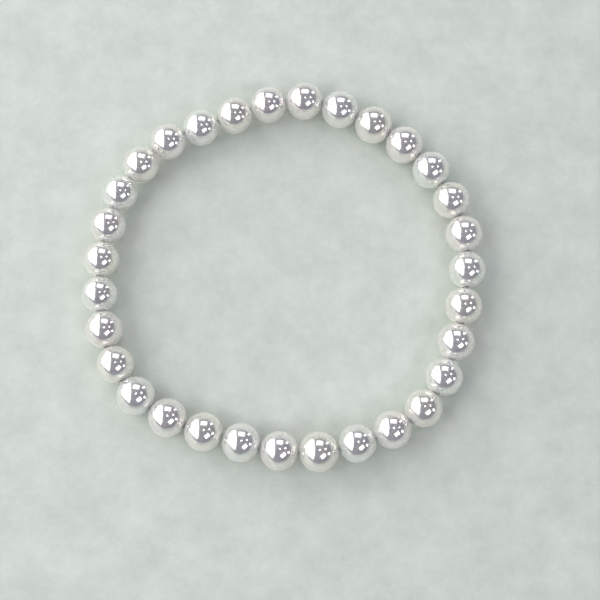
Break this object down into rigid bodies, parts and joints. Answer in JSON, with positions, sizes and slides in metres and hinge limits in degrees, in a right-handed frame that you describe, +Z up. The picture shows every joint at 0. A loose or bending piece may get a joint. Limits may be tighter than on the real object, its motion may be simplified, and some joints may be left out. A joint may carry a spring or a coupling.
{
  "type": "pearl bracelet",
  "caption": "Stretch bracelet: a closed string of round white pearls, drilled and threaded on one elastic loop, lying flat.",
  "frame": {"origin": "middle of the bracelet's outline, on the surface that it lies on", "axes": "+Z up, through the loop as a wrist goes; +Y to the back of the loop; +X to its right, along its longest side"},
  "size_m": [0.0648, 0.0638, 0.0063],
  "materials": {
    "pearl_nacre": "white pearl nacre, round and clean, with a mirror-like lustre and a faint rose and green overtone",
    "clear_elastic": "translucent white elastic cord, smooth"
  },
  "bodies": {
    "root": {"pearl_01": "pearl_nacre", "pearl_02": "pearl_nacre", "pearl_03": "pearl_nacre", "pearl_04": "pearl_nacre", "pearl_05": "pearl_nacre", "pearl_06": "pearl_nacre", "pearl_07": "pearl_nacre", "pearl_08": "pearl_nacre", "pearl_09": "pearl_nacre", "pearl_10": "pearl_nacre", "pearl_11": "pearl_nacre", "pearl_12": "pearl_nacre", "pearl_13": "pearl_nacre", "pearl_14": "pearl_nacre", "pearl_15": "pearl_nacre", "pearl_16": "pearl_nacre", "pearl_17": "pearl_nacre", "pearl_18": "pearl_nacre", "pearl_19": "pearl_nacre", "pearl_20": "pearl_nacre", "pearl_21": "pearl_nacre", "pearl_22": "pearl_nacre", "pearl_23": "pearl_nacre", "pearl_24": "pearl_nacre", "pearl_25": "pearl_nacre", "pearl_26": "pearl_nacre", "pearl_27": "pearl_nacre", "pearl_28": "pearl_nacre", "pearl_29": "pearl_nacre", "pearl_30": "pearl_nacre", "pearl_31": "pearl_nacre", "elastic_cord": "clear_elastic"}
  },
  "joints": []
}
